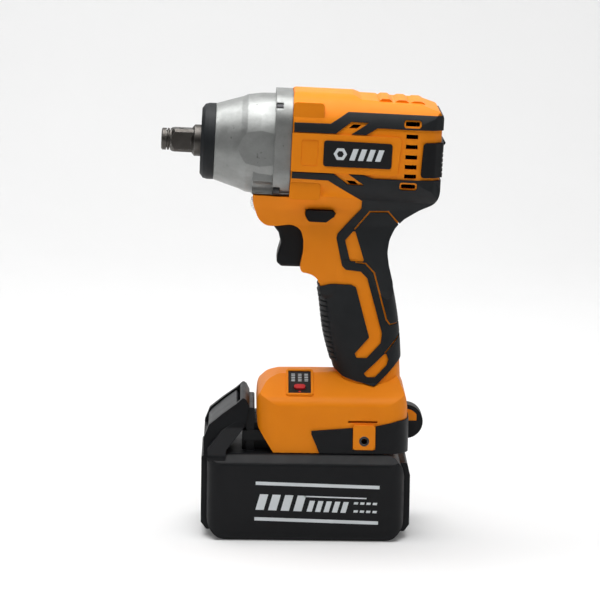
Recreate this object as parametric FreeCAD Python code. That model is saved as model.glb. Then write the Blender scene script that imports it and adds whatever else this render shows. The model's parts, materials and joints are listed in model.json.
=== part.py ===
"""Cordless impact wrench with a half-inch square drive and a slide-on battery.

Frame: origin at the centre of the battery's base, +Z up, the drive points to -X and the tool's left
side faces -Y. Everything on the spindle is modelled in the head frame, whose X axis is the spindle,
and then placed by in_head().
"""

import FreeCAD, Part
import math
import os

from FreeCAD import Vector

# Driving dimensions, in millimetres and degrees
HEAD_X, HEAD_Z = -11.0, 217.4  # the spindle axis crosses the rear face of the hammer case here
HEAD_TILT = 2.0  # the nose points up by this much
BARREL_HALF_WIDTH = 32.5
BARREL_TOP, BARREL_BOTTOM = 31.4, -29.0
BARREL_CORNER = 21.0
BARREL_LENGTH = 82.3
WALL = 2.6
RUBBER = 0.8  # how far the overmould stands proud
NECK_HALF_WIDTH = 27.5
GRIP_HALF_WIDTH = 16.4
FOOT_HALF_WIDTH = 31.0
FOOT_BOTTOM = 48.8
CASE_NOSE_RADIUS = 21.2
CASE_CAVITY_RADIUS = 23.8
HAMMER_RADIUS = 22.8
DRIVE_SQUARE = 12.7
ANVIL_RADIUS = 8.8
RUNNING = 0.04  # radial clearance of a running fit
SLIDING = 0.35  # clearance round a moulded part that slides
GEAR_MODULE = 0.88
SUN_TEETH, PLANET_TEETH, RING_TEETH = 12, 18, 48
PLANETS = 3
PRESSURE_ANGLE = 20.0
GEAR_FRONT, GEAR_WIDTH = 8.4, 7.0
ROTOR_SHAFT_RADIUS = 2.5
FAN_BLADES = 17
STATOR_TEETH, ROTOR_POLES = 6, 4
BEARING_BALLS = 7
BATTERY_FRONT, BATTERY_REAR = -55.4, 54.6
BATTERY_HALF_WIDTH = 37.5
BATTERY_CORNER = 12.5
BATTERY_SPLIT, BATTERY_TOP = 43.5, 48.4
CELL_RADIUS, CELL_LENGTH = 9.2, 65.0
SCREW_HEAD_RADIUS, SCREW_RADIUS = 3.1, 1.75
TRIGGER_HALF_WIDTH = 10.5
LEVER_HALF_WIDTH = 23.0
HOOK_X, HOOK_Z = 31.8, 56.1  # the belt hook's screw
HOOK_BOTTOM, HOOK_WIDTH, HOOK_THICK, HOOK_GAP = 48.9, 12.0, 2.0, 6.5
TAB_FACE = FOOT_HALF_WIDTH + 1.6  # half the width across the pads that take the belt hook
FAR = 200.0


# Small builders


def in_head(shape):
    """Places a shape from the head frame."""
    placed = shape.copy()
    placed.rotate(Vector(0, 0, 0), Vector(0, 1, 0), HEAD_TILT)
    placed.translate(Vector(HEAD_X, 0, HEAD_Z))
    return placed


def head_point(a, b):
    """The x and z of a point that is a along and b above the spindle."""
    tilt = math.radians(HEAD_TILT)
    x = HEAD_X + a * math.cos(tilt) + b * math.sin(tilt)
    z = HEAD_Z - a * math.sin(tilt) + b * math.cos(tilt)
    return x, z


def rounded_wire(points, radius):
    """A closed wire through 3-D points with each corner rounded, as far as its sides allow."""
    corners = [Vector(*p) for p in points]
    count = len(corners)
    edges, arcs = [], []
    for i, corner in enumerate(corners):
        before, after = corners[i - 1] - corner, corners[(i + 1) % count] - corner
        turn = before.getAngle(after)
        reach = min(radius / math.tan(turn / 2), 0.45 * before.Length, 0.45 * after.Length)
        start = corner + before.normalize() * reach
        end = corner + after.normalize() * reach
        to_centre = (before + after).normalize()
        used = reach * math.tan(turn / 2)
        middle = corner + to_centre * (used / math.sin(turn / 2) - used)
        arcs.append((start, middle, end))
    for i, (start, middle, end) in enumerate(arcs):
        straight = start - arcs[i - 1][2]
        if straight.Length > 1e-4:
            edges.append(Part.makeLine(arcs[i - 1][2], start))
        if (start - end).Length > 1e-4:
            edges.append(Part.Arc(start, middle, end).toShape())
    return Part.Wire(edges)


def plain_wire(points):
    return Part.makePolygon([Vector(*p) for p in points] + [Vector(*points[0])])


def prism(points, along, radius=0.0):
    """The solid that a closed outline sweeps along a vector."""
    wire = rounded_wire(points, radius) if radius else plain_wire(points)
    return Part.Face(wire).extrude(Vector(*along))


def side_prism(outline, low, high, radius=0.0):
    """An outline of (x, z) points, from y = low to y = high."""
    return prism([(x, low, z) for x, z in outline], (0, high - low, 0), radius)


def front_prism(outline, low, high, radius=0.0):
    """An outline of (y, z) points, from x = low to x = high."""
    return prism([(low, y, z) for y, z in outline], (high - low, 0, 0), radius)


def plan_prism(outline, low, high, radius=0.0):
    """An outline of (x, y) points, from z = low to z = high."""
    return prism([(x, y, low) for x, y in outline], (0, 0, high - low), radius)


def block(low, high):
    size = [h - l for l, h in zip(low, high)]
    return Part.makeBox(size[0], size[1], size[2], Vector(*low))


def rod(radius, low, high, y=0.0, z=0.0):
    """A cylinder along X."""
    return Part.makeCylinder(radius, high - low, Vector(low, y, z), Vector(1, 0, 0))


def tube(outer, inner, low, high):
    return rod(outer, low, high).cut(rod(inner, low - 1, high + 1))


def cross_rod(radius, x, z, low, high):
    """A cylinder along Y."""
    return Part.makeCylinder(radius, high - low, Vector(x, low, z), Vector(0, 1, 0))


def turned(profile):
    """A solid of revolution about the spindle, from (axial, radius) points."""
    face = Part.Face(plain_wire([(a, 0, r) for a, r in profile]))
    return face.revolve(Vector(0, 0, 0), Vector(1, 0, 0), 360)


def fused(shapes):
    first, *others = shapes
    whole = first.fuse(others) if others else first
    return whole.removeSplitter()


def cut_all(shape, tools):
    for tool in tools:
        shape = shape.cut(tool)
    return shape


def round_box(low, high, vertical, horizontal=0.0):
    """A box with rounded upright edges and, if asked, rounded upper and lower edges."""
    box = block(low, high)
    upright = [e for e in box.Edges if abs(e.tangentAt(e.FirstParameter).z) > 0.9]
    box = box.makeFillet(vertical, upright)
    if horizontal:
        flat = [e for e in box.Edges if e.BoundBox.ZLength < 1e-6]
        box = box.makeFillet(horizontal, flat)
    return box


def mirrored(shape):
    return shape.mirror(Vector(0, 0, 0), Vector(0, 1, 0))


def left_half():
    return block((-FAR, -FAR, -FAR), (FAR, 0, 2 * FAR))


def inset(outline, distance):
    """An outline of 2-D points moved inwards by a distance, or outwards if it is negative."""
    wire = Part.makePolygon([Vector(x, y, 0) for x, y in outline + outline[:1]])
    if abs(distance) < 1e-9:
        return outline
    moved = wire.makeOffset2D(-distance, 2, False, False, True)
    return [(v.X, v.Y) for v in moved.OrderedVertexes]


# Outer shape of the housing, grown or shrunk by a distance

BARREL_SIDE = [(0, BARREL_BOTTOM), (0, BARREL_TOP), (33, BARREL_TOP), (37.6, 29.2), (46.4, 29.1), (47.4, 28.3),
               (70.6, 28.2), (81.2, 24.6), (BARREL_LENGTH, 21), (BARREL_LENGTH, -18), (80.2, -24.2),
               (70, BARREL_BOTTOM)]
TOP_RIBS = [50.8, 59.9, 68.4]  # a of the grip ribs across the top
BARREL_PLAN = [(0, -33), (0, 33), (64, 33), (78, 29.5), (BARREL_LENGTH, 25),
               (BARREL_LENGTH, -25), (78, -29.5), (64, -33)]
NECK_SIDE = [(-32, 196), (-31.6, 186.5), (-28.6, 178), (-24.4, 174.4), (-19, 174.2), (-10, 175.4), (-5.0, 172.6),
             (-3.4, 166.5), (-3.4, 160), (-5.2, 151.0), (-4.2, 148.2), (0.5, 147.4), (4.4, 145), (6.6, 140.6),
             (8, 134), (46.6, 134), (45.8, 143), (43.4, 153), (42.4, 160), (43.4, 167.5), (46.4, 174.4),
             (51.6, 179.8), (60, 185), (69.6, 189.4), (71, 200)]
NECK_WIDTHS = [(27.5, 206), (27.0, 199), (23.4, 190.5), (20.2, 184), (18.4, 175), (17.7, 162), (16.6, 150),
               (14.0, 130)]  # half-width and z, from the barrel down
GRIP_STATIONS = [  # z, front x, rear x, half-width
    (156, 0.0, 42.6, 17.4),
    (145, 4.2, 45.2, 17.0),
    (134, 6.8, 47.6, GRIP_HALF_WIDTH),
    (120, 8.6, 50.0, GRIP_HALF_WIDTH),
    (106, 11.4, 51.4, GRIP_HALF_WIDTH),
    (95, 14.6, 52.0, 16.8),
    (80, 15.0, 53.0, 17.4),
]
FOOT_SIDE = [(0.0, 20), (-27.6, 62.5), (-28.3, 72), (-27.9, 79.5), (-22.2, 87.4), (-16, 89.8),
             (16, 90.6), (50, 90.6), (52.6, 85), (55, 79.6), (56, 73), (56, 20)]
FOOT_FRONT = [(-FOOT_HALF_WIDTH, 20), (-FOOT_HALF_WIDTH, 76.6), (-28.5, 79.6), (-8.5, 90.6), (8.5, 90.6),
              (28.5, 79.6), (FOOT_HALF_WIDTH, 76.6), (FOOT_HALF_WIDTH, 20)]
GRIP_POWER = 2.5  # the exponent of the grip's oval sections


def barrel(grow):
    half, top, bottom = BARREL_HALF_WIDTH + grow, BARREL_TOP + grow, BARREL_BOTTOM - grow
    section = [(-half, bottom), (-half, top), (half, top), (half, bottom)]
    body = front_prism(section, -grow - 5, BARREL_LENGTH + 5, BARREL_CORNER + grow)
    side = side_prism(inset(BARREL_SIDE, -grow), -FAR, FAR, 2.5)
    plan = plan_prism(inset(BARREL_PLAN, -grow), -FAR, FAR, 4.0)
    return body.common(side).common(plan)


def neck(grow):
    half = NECK_HALF_WIDTH + grow
    side = side_prism(inset(NECK_SIDE, -grow), -half, half, 14.0)
    left = [(-width - grow, z) for width, z in NECK_WIDTHS]
    waist = left + [(-y, z) for y, z in reversed(left)]
    return side.common(front_prism(waist, -FAR, FAR, 12.0))


def oval(z, front, rear, half):
    """A closed smooth curve round a horizontal section of the grip."""
    points = []
    steps = 20
    for i in range(steps):
        angle = 2 * math.pi * i / steps
        c, s = math.cos(angle), math.sin(angle)
        x = (front + rear) / 2 + (rear - front) / 2 * math.copysign(abs(c) ** (2 / GRIP_POWER), c)
        y = half * math.copysign(abs(s) ** (2 / GRIP_POWER), s)
        points.append(Vector(x, y, z))
    curve = Part.BSplineCurve()
    curve.interpolate(points, PeriodicFlag=True)
    return Part.Wire(curve.toShape())


def grip(grow):
    rings = [oval(z, front - grow, rear + grow, half + grow) for z, front, rear, half in GRIP_STATIONS]
    left = Part.makeLoft(rings, True, False).common(left_half())
    return fused([left, mirrored(left)])


def foot(grow):
    side = side_prism(inset(FOOT_SIDE, -grow), -FAR, FAR, 9.0)
    front = front_prism(inset(FOOT_FRONT, -grow), -FAR, FAR, 12.0)
    low, high, half = -28.3 - grow, 56 + grow, FOOT_HALF_WIDTH + grow
    bottom = FOOT_BOTTOM + max(-grow, 0)
    plan = plan_prism([(low, -half), (high, -half), (high, half), (low, half)], bottom, FAR, 12.0 + grow)
    return side.common(front).common(plan)


def housing_outside(grow):
    """The whole outer form, so that its difference from a grown copy is a skin on it."""
    return in_head(barrel(grow)).fuse([neck(grow), grip(grow), foot(grow)])


# Battery rail that the foot slides over

RAIL_SECTION = [(-20, 46), (-20, 54.2), (-24, 54.2), (-24, 59.8), (-20, 59.8), (-20, 63.6),
                (20, 63.6), (20, 59.8), (24, 59.8), (24, 54.2), (20, 54.2), (20, 46)]
RAIL_REAR = 44.0


def rail_channel():
    """The space that the battery's rail needs in the foot, open at the front."""
    return front_prism(inset(RAIL_SECTION, -0.45), -60, RAIL_REAR + 1.0)


# Fastener places on the side of the tool

HOUSING_SCREWS = [(-21.5, 81.0), (47.5, 73.0), (37.4, 111.0), (23.0, 146.5), (-23.5, 183.0), (22.0, 183.0),
                  head_point(76.0, 20.5), head_point(76.0, -18.5)]
BOSS_RADIUS = 3.7
SCREW_END = -9.0  # the y of every housing screw's point


def screw_bosses():
    return [cross_rod(BOSS_RADIUS, x, z, -FAR, FAR) for x, z in HOUSING_SCREWS]


def screw_holes():
    """Clearance for the housing screws, whose heads sit below the right side."""
    holes = []
    for x, z in HOUSING_SCREWS:
        depth = screw_depth(x, z)
        holes.append(cross_rod(SCREW_RADIUS + 0.05, x, z, SCREW_END - 0.5, depth + 0.5))
        holes.append(cross_rod(SCREW_HEAD_RADIUS + 0.3, x, z, depth, FAR))
    return holes


def screw_depth(x, z):
    """The y of the seat under a housing screw's head."""
    if z > 195:
        return 22.0
    if z > 165:
        return 17.0
    return 12.0 if z > 95 else 22.5


# The vents and windows of the head, as (a, b) outlines in the head frame

VENT_ROWS = [11.3, 5.7, 0.0, -5.4, -10.6]
VENT_LOW, VENT_HIGH, VENT_HEIGHT = 62.4, 68.9, 2.4
BAND_VENTS = [(61.8, 16.8, 69.6, 19.4), (61.0, -17.6, 68.8, -15.0)]
VENT_RIM = 0.9
DIAGONAL_VENT = [(30.6, 14.4), (33.0, 16.6), (37.6, 16.6), (35.2, 14.4)]


def band_vent_outlines():
    """Openings in the rubber that leave a narrow rim of the housing round each band vent."""
    wide = VENT_RIM
    return [in_head(side_prism([(a0 - wide, b0 - wide), (a1 + wide, b0 - wide), (a1 + wide, b1 + wide),
                                (a0 - wide, b1 + wide)], -FAR, FAR, 1.4)) for a0, b0, a1, b1 in BAND_VENTS]


def vents():
    cutters = []
    for b in VENT_ROWS:
        cutters.append(block((VENT_LOW, -FAR, b - VENT_HEIGHT / 2), (VENT_HIGH, FAR, b + VENT_HEIGHT / 2)))
    for a0, b0, a1, b1 in BAND_VENTS:
        cutters.append(side_prism([(a0, b0), (a1, b0), (a1, b1), (a0, b1)], -FAR, FAR, 0.9))
    cutters.append(side_prism(DIAGONAL_VENT, -FAR, FAR))
    cutters.append(side_prism([(a, -b) for a, b in DIAGONAL_VENT], -FAR, FAR))
    return [in_head(c) for c in cutters]


# Housing shells

TRIGGER_SIDE = [(-21.2, 174.6), (-17.2, 169.4), (-15.9, 163.6), (-17.8, 157), (-18.2, 152.8), (-15.6, 150.5),
                (2, 150.2), (2, 174.6)]
LEVER_SIDE = [(-2.4, 183.9), (12.4, 183.6), (13.9, 182), (13.2, 180.4), (8.8, 177.2), (-0.8, 177.6),
              (-2.4, 180.6)]
GAUGE_CENTRE = Vector(-4.3, -17.6, 85.9)
GAUGE_SLOPE = 28.8  # degrees from level of the foot's shoulder
GAUGE_HALF_X, GAUGE_HALF_SLOPE = 6.3, 9.8
LIGHT_CENTRE = Vector(-30.6, 0, 184.0)
LIGHT_DIRECTION = Vector(-1, 0, -0.35)
REAR_CAP_SIDE = [(71.4, -11.2), (72.2, 8.0), (90, 8.4), (90, -10.8)]
CAP_PROUD = 1.3
LUG_X, LUG_Z, LUG_RADIUS, LUG_HALF_WIDTH = 56.0, 62.2, 9.6, 5.5
CHIN_TOP = -26.2  # in the head frame, where the chin stops against the case
BADGE = [(5.4, -7.2), (5.4, 7.2), (14.5, 7.2), (14.5, -7.2)]
LABEL = [(17.6, -6.9), (17.6, 7.3), (55.1, 6.9), (55.0, -6.9)]
SIDE_FACE = -33.4  # the y of the raised panel on the head's left side
SIDE_PANEL = [(-1, -10.6), (-1, 10.7), (60.4, 10.7), (58.6, -9.6), (57, -10.6)]


def on_gauge(shape):
    """Places a shape from the gauge's frame, whose Z is the normal of the left shoulder."""
    placed = shape.copy()
    placed.rotate(Vector(0, 0, 0), Vector(1, 0, 0), GAUGE_SLOPE)
    placed.translate(GAUGE_CENTRE)
    return placed


def gauge_frame():
    return on_gauge(round_box((-GAUGE_HALF_X - 1.3, -GAUGE_HALF_SLOPE - 1.3, -2), (GAUGE_HALF_X + 1.3,
                    GAUGE_HALF_SLOPE + 1.3, 0.9), 1.6))


def gauge_pocket():
    return on_gauge(block((-GAUGE_HALF_X, -GAUGE_HALF_SLOPE, -1.4), (GAUGE_HALF_X, GAUGE_HALF_SLOPE, 3)))


def top_ribs():
    """Low ribs across the top of the head, for the hand."""
    ribs = []
    for i, a in enumerate(TOP_RIBS):
        crest = 29.9 - 0.3 * i
        rib = side_prism([(a - 4.0, 27.0), (a - 4.0, 28.4), (a - 1.9, crest), (a + 1.9, crest), (a + 4.0, 28.4),
                          (a + 4.0, 27.0)], -17, 17, 1.0)
        ribs.append(in_head(rib))
    return ribs


def front_pads():
    """Raised pads that the case screws go into, at the corners of the housing's front."""
    pads = []
    for b0, b1 in ((17.5, 27.2), (-26.4, -17.0)):
        pad = side_prism([(0, b0), (0, b1), (17, b1), (17, b0)], -30.6, 30.6, 2.0)
        pads.append(in_head(pad.common(block((0.05, -40, -40), (20, 40, 40)))))
    return pads


def case_screw_holes():
    return [in_head(rod(2.05, -1, 12.5, y, b)) for y, b in CASE_SCREWS]


def cap_seat(grow):
    """The block across the rear of the head that the rear cap fills, in the head frame."""
    return side_prism(inset(REAR_CAP_SIDE, -grow), -FAR, FAR, 2.0)


def lug():
    """The orange core of the rear lug."""
    disc = cross_rod(LUG_RADIUS - 2.4, LUG_X, LUG_Z, -LUG_HALF_WIDTH, LUG_HALF_WIDTH)
    return disc.common(block((50, -6, LUG_Z + 0.6), (62.0, 6, 80)))


def hook_tabs():
    """The pads on both sides that take the belt hook, with the slot above for its lip."""
    outline = [(25.6, 51.2), (25.6, 65.2), (37.9, 65.0), (37.9, 51.2)]
    return [side_prism(outline, side * 28.0, side * TAB_FACE, 1.6) for side in (-1, 1)]


def housing():
    outside = housing_outside(0)
    inside = in_head(barrel(-WALL)).fuse([neck(-WALL), grip(-WALL)])
    foot_room = foot(-WALL).common(block((-FAR, -FAR, 66.6), (FAR, FAR, FAR)))
    front_room = in_head(rod(26.6, -10, 8))
    hollow = inside.fuse([foot_room, front_room])
    bosses = [b.common(outside) for b in screw_bosses()]
    shell = outside.fuse(front_pads() + top_ribs() + [gauge_frame(), lug()] + hook_tabs())
    shell = shell.cut(hollow)
    clear = in_head(rod(27.3, -2, 60)).fuse(trigger_room())
    kept = [b.cut(clear) for b in bosses]
    shell = shell.fuse(kept)
    panel = in_head(side_prism(SIDE_PANEL, SIDE_FACE, -SIDE_FACE, 2.5))
    shell = shell.fuse(panel.cut(in_head(block((-5, -31, -20), (70, 31, 20)))))
    cutters = vents() + screw_holes() + case_screw_holes() + [in_head(cap_seat(0.05)), case_room()]
    cutters += [trigger_room(), lever_room(), light_room(), gauge_pocket(), gauge_button_room()]
    cutters += [rail_channel(), terminal_room(), latch_room()]
    for side in (-1, 1):
        reach = side * (FOOT_HALF_WIDTH + 3)
        insert_low, insert_high = sorted((side * 24.9, reach))
        cutters.append(cross_rod(2.8, HOOK_X, HOOK_Z, insert_low, insert_high))
        slot_low, slot_high = sorted((side * 27.5, reach))
        cutters.append(block((22.8, slot_low, 66.2), (39.1, slot_high, 67.3)))
    badge = in_head(side_prism(BADGE, SIDE_FACE - 1, SIDE_FACE + 0.4, 1.2))
    label = in_head(side_prism(LABEL, SIDE_FACE - 1, SIDE_FACE + 0.8, 1.5))
    cutters += [badge, mirrored(badge), label, mirrored(label)]
    return cut_all(shell, cutters)


def case_room():
    """The space that the hammer case takes out of the chin below it."""
    profile = [(-60, 0), (-60, CASE_NOSE_RADIUS)] + [(a, r + 0.2) for a, r in CASE_OUTLINE] + [(0, 0)]
    shell_side = turned(profile)
    flange = front_prism(flange_section(0.2), -9.6, 0, BARREL_CORNER - 4)
    above = block((-70, -60, CHIN_TOP), (0, 60, 60))
    return in_head(shell_side.fuse([flange, above]))


def terminal_room():
    """The space at the rear of the battery channel that takes the terminal block."""
    return block((RAIL_REAR, -17.1, 51.9), (51.6, 17.1, 64.1))


def trigger_room():
    slot = [(-30, 149.8), (-30, 175.0), (9.5, 175.0), (9.5, 149.8)]
    half = TRIGGER_HALF_WIDTH + SLIDING
    return side_prism(slot, -half, half)


def lever_room():
    return side_prism(inset(LEVER_SIDE, -0.3), -FAR, FAR)


def light_room():
    return Part.makeCylinder(4.6, 11, LIGHT_CENTRE - LIGHT_DIRECTION * 2.4, LIGHT_DIRECTION)


def gauge_button_room():
    return on_gauge(round_box((-3.5, -6.4, -6), (3.5, -2.2, 3), 2.0))


def latch_room():
    """The pocket in the channel's roof that takes the latch's tongue."""
    return block((-60, -8.5, 63), (-17.5, 8.5, 69.2))


# Overmould and guards: outlines seen from the side, kept where a skin covers the housing

UPPER_BAND = [(0.8, 11.2), (0.8, 16.2), (20.8, 16.4), (30.2, 23.0), (90, 23.0), (90, 14.9), (46.4, 15.2),
              (40.4, 11.2)]
UPPER_WINDOW = [(21.6, 9.5), (32.0, 17.9), (41.8, 17.9), (30.0, 9.5)]
LOWER_BAND = [(0.8, -10.9), (39.8, -10.9), (45.8, -12.8), (90, -12.6), (90, -45), (40.2, -45), (40.4, -26.4),
              (20.8, -14.9), (0.8, -14.6)]
LOWER_WINDOW = [(21.6, -9.5), (32.0, -16.8), (40.8, -16.8), (30.0, -9.5)]
GRIP_RUBBER = [(29.2, 188.0), (29.2, 186.0), (15.4, 170.5), (14.8, 168), (18.2, 152.4), (20.2, 150.2), (28.6, 149.2),
               (32.4, 145.4), (41.2, 114), (40.6, 108.6), (32.8, 100.3), (27.4, 100.2), (26.0, 102.6), (34.0, 112),
               (26.2, 140.2), (23.6, 141.6), (12, 141.7), (2, 139.4), (2, 104), (14.2, 93.6), (19.6, 89.4),
               (27, 87.2), (37, 85.0), (39.6, 86.4), (60, 107), (60, 172), (49, 177.4), (62, 184.6), (62, 193)]
UPPER_INSERT = [(24.9, 173.0), (30.6, 154.6), (22.6, 155), (19.6, 166.8)]
LOWER_INSERT = [(31.0, 91.4), (43.6, 103.4), (45.2, 99.2), (44.0, 96.0), (37.6, 89.6), (33.4, 89.4)]
PALM_LINE = [(24.9, 173.2), (33.0, 183.2), (43.2, 183.3), (50.0, 175.5)]
PALM_LINE_LOW = [(26.0, 154.4), (31.4, 153.6), (36.2, 148.4), (43.6, 121.6), (45.6, 118.8), (60.0, 119.2)]
TAIL_LINE = [(60.0, 122.0), (43.4, 103.4)]
LINE_HALF = 0.45
RIB_COUNT, RIB_LOW, RIB_STEP, RIB_THICK = 14, 97.6, 2.9, 1.5
RIB_HEIGHT, RIB_HALF_WIDTH = 0.7, 12.0
GUARD_SIDE = [(2.4, 61.4), (37.7, 64.4), (50.7, 67.2), (70, 68.6), (70, 46), (8.2, 46), (2.4, 59.6)]
GUARD_WINDOW = [(25.4, 51.0), (25.4, 70), (38.1, 70), (38.1, 51.0)]


def groove(points, low, high):
    """A narrow strip along a line of (x, z) points."""
    strips = []
    for (x0, z0), (x1, z1) in zip(points, points[1:]):
        length = math.hypot(x1 - x0, z1 - z0)
        ux, uz = (x1 - x0) / length, (z1 - z0) / length
        px, pz = -uz * LINE_HALF, ux * LINE_HALF
        x0, z0, x1, z1 = x0 - ux * LINE_HALF, z0 - uz * LINE_HALF, x1 + ux * LINE_HALF, z1 + uz * LINE_HALF
        outline = [(x0 + px, z0 + pz), (x1 + px, z1 + pz), (x1 - px, z1 - pz), (x0 - px, z0 - pz)]
        strips.append(side_prism(outline, low, high))
    return strips


def skin():
    """A layer over the whole housing."""
    ahead = in_head(block((-60, -FAR, -FAR), (0.8, FAR, FAR)))
    return cut_all(housing_outside(RUBBER), [housing_outside(0), ahead])


def grip_ribs():
    """Low ribs across the front of the grip rubber, on the left side."""
    ring = cut_all(grip(RUBBER + RIB_HEIGHT), [grip(RUBBER - 0.2), neck(0)])
    ribs = []
    for i in range(RIB_COUNT):
        z = RIB_LOW + RIB_STEP * i
        ribs.append(ring.common(block((0, -RIB_HALF_WIDTH, z), (24, 0, z + RIB_THICK))))
    return ribs


def overmould_parts():
    """The rubber on the left side: the upper band, the grip and the foot's guard."""
    layer = skin().common(left_half())
    openings = vents() + band_vent_outlines() + front_pads() + [lever_room(), in_head(cap_seat(0.3))]
    openings.append(in_head(side_prism(SIDE_PANEL, -FAR, 0, 2.5)))
    upper = in_head(side_prism(UPPER_BAND, -FAR, 0)).cut(in_head(side_prism(UPPER_WINDOW, -FAR, 0)))
    upper = layer.common(upper)
    lower = in_head(side_prism(LOWER_BAND, -FAR, 0)).cut(in_head(side_prism(LOWER_WINDOW, -FAR, 0)))
    lower = lower.fuse(side_prism(GRIP_RUBBER, -FAR, 0, 0.8))
    windows = [side_prism(UPPER_INSERT, -FAR, 0, 1.0), side_prism(LOWER_INSERT, -FAR, 0, 1.0)]
    for line in (PALM_LINE, PALM_LINE_LOW, TAIL_LINE):
        windows += groove(line, -FAR, 0)
    lower = layer.common(cut_all(lower, windows)).fuse(grip_ribs())
    guard = layer.common(side_prism(GUARD_SIDE, -FAR, 0))
    guard = guard.cut(side_prism(GUARD_WINDOW, -FAR, 0)).cut(block((-FAR, -FAR, 0), (FAR, FAR, FOOT_BOTTOM)))
    return cut_all(upper, openings), cut_all(lower, openings), guard


def rim():
    """The guard's rounded tail, which covers the lug from the rear and below."""
    disc = cross_rod(LUG_RADIUS, LUG_X, LUG_Z, -LUG_HALF_WIDTH, LUG_HALF_WIDTH)
    core = cross_rod(LUG_RADIUS - 2.3, LUG_X, LUG_Z, -7, 7).common(block((50, -7, LUG_Z + 0.5), (62.1, 7, 80)))
    return disc.cut(core).cut(housing_outside(0))


# Head: case, nose, anvil and impact train

CASE_OUTLINE = [(-42.2, CASE_NOSE_RADIUS), (-35, 23.5), (-28, 25.6), (-24.6, 27.1), (-17, 28.2), (0, 28.8)]
SADDLE_SECTION = [(-24.6, -26.0), (-24.6, -8), (24.6, -8), (24.6, -26.0)]  # rests on the chin
CASE_SCREW_SEAT = -5.4
CASE_SCREWS = [(y, b) for y in (-24.0, 24.0) for b in (22.0, -22.0)]


def flange_section(grow):
    half, top, bottom = 30.9 + grow, 30.2 + grow, -27.7 - grow
    return [(-half, bottom), (-half, top), (half, top), (half, bottom)]


def hammer_case():
    body = turned([(-48.4, 0), (-48.4, 14.8), (-42.2, 14.8)] + CASE_OUTLINE + [(0, 0)])
    flats = plan_prism([(-60, -22.4), (-9.4, -27.1), (-9.4, 27.1), (-60, 22.4)], -60, 60)
    nose = rod(60, -60, -41.0)
    body = body.common(flats.fuse([nose, rod(60, -9.4, 1)]))
    flange = front_prism(flange_section(0), -9.4, -0.05, BARREL_CORNER - 4)
    saddle = front_prism(SADDLE_SECTION, -20.6, -9.0, 5.0)
    body = fused([body, flange, saddle, rod(26.4, -0.1, 7.4)])
    hollows = [rod(CASE_CAVITY_RADIUS, -19.6, 8), rod(20.6, -27.6, -19), rod(11.5, -60, -27)]
    for y, b in CASE_SCREWS:
        hollows += [rod(2.05, -30, 2, y, b), rod(3.9, -30, CASE_SCREW_SEAT, y, b)]
    return cut_all(body, hollows).removeSplitter()


def case_screws():
    screws = []
    for y, b in CASE_SCREWS:
        head = rod(3.5, CASE_SCREW_SEAT - 3.6, CASE_SCREW_SEAT, y, b)
        head = head.cut(front_prism(hexagon(y, b, 1.5), CASE_SCREW_SEAT - 4, CASE_SCREW_SEAT - 1.8))
        screws.append(in_head(head.fuse(rod(2.0, CASE_SCREW_SEAT, 12.0, y, b))))
    return Part.makeCompound(screws)


def hexagon(x, y, half):
    """The corners of a hexagon about a point, given half its width across flats."""
    corner = half / math.cos(math.radians(30))
    turns = [math.radians(60 * i) for i in range(6)]
    return [(x + corner * math.cos(t), y + corner * math.sin(t)) for t in turns]


def nose_bumper():
    profile = [(-48.6, 10.2), (-50.0, 10.2), (-50.0, 18.2), (-48.2, 20.6), (-46, 21.2), (-42.3, 21.2), (-42.3, 14.9),
               (-48.6, 14.9)]
    return turned(profile)


def anvil():
    half = DRIVE_SQUARE / 2
    square = front_prism([(-half, -half), (half, -half), (half, half), (-half, half)], -66.4, -53)
    square = square.common(turned([(-66.4, 0), (-66.4, 6.6), (-64.6, 8.0), (-53, 8.0), (-53, 0)]))
    round_parts = [(-72, 0), (-72, 5.4), (-71.4, 6.1), (-69.3, 6.1), (-69.3, 4.9), (-67.1, 4.9), (-67.1, 6.1),
                   (-60, 6.1), (-60, 0)]
    collar = [(-55.4, 0), (-55.4, 6.6), (-53.6, ANVIL_RADIUS), (-27.0, ANVIL_RADIUS), (-27.0, 11.0), (-20.0, 11.0),
              (-20.0, 0)]
    body = fused([square, turned(round_parts), turned(collar)])
    for turn in (0, 180):
        wing = front_prism([(-5.2, 0), (5.2, 0), (6.8, 21), (-6.8, 21)], -27.0, -20.0)
        wing = wing.common(rod(19.6, -28, -19))
        wing.rotate(Vector(0, 0, 0), Vector(1, 0, 0), turn)
        body = body.fuse(wing)
    body = body.cut(rod(4.05, -26.6, -19))
    pin_hole = Part.makeCylinder(1.6, 20, Vector(-61.4, 0, -10), Vector(0, 0, 1))
    return body.cut(pin_hole).removeSplitter()


def friction_ring():
    ring = Part.makeTorus(5.55, 0.62, Vector(-68.2, 0, 0), Vector(1, 0, 0))
    gap = block((-70, -1.0, -8), (-66, 1.0, 0))
    return ring.cut(gap)


def hammer():
    rim = HAMMER_RADIUS
    body = turned([(-19.0, 0), (-19.0, rim - 1), (-18.0, rim), (-6.0, rim), (-5.0, rim - 1), (-5.0, 0)])
    for turn in (90, 270):
        jaw = front_prism([(-6, 9), (6, 9), (8, 22), (-8, 22)], -26.0, -18.5)
        jaw = jaw.common(rod(19.8, -27, -18)).cut(rod(11.4, -27, -18))
        jaw.rotate(Vector(0, 0, 0), Vector(1, 0, 0), turn)
        body = body.fuse(jaw)
    body = body.cut(rod(7.56, -30, 0)).cut(tube(18.2, 10.6, -13.0, 0))
    for side in (-1, 1):
        slot = rod(2.6, -30, -13.3, 0, side * 7.5)
        body = body.cut(slot)
    return body.removeSplitter()


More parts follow.
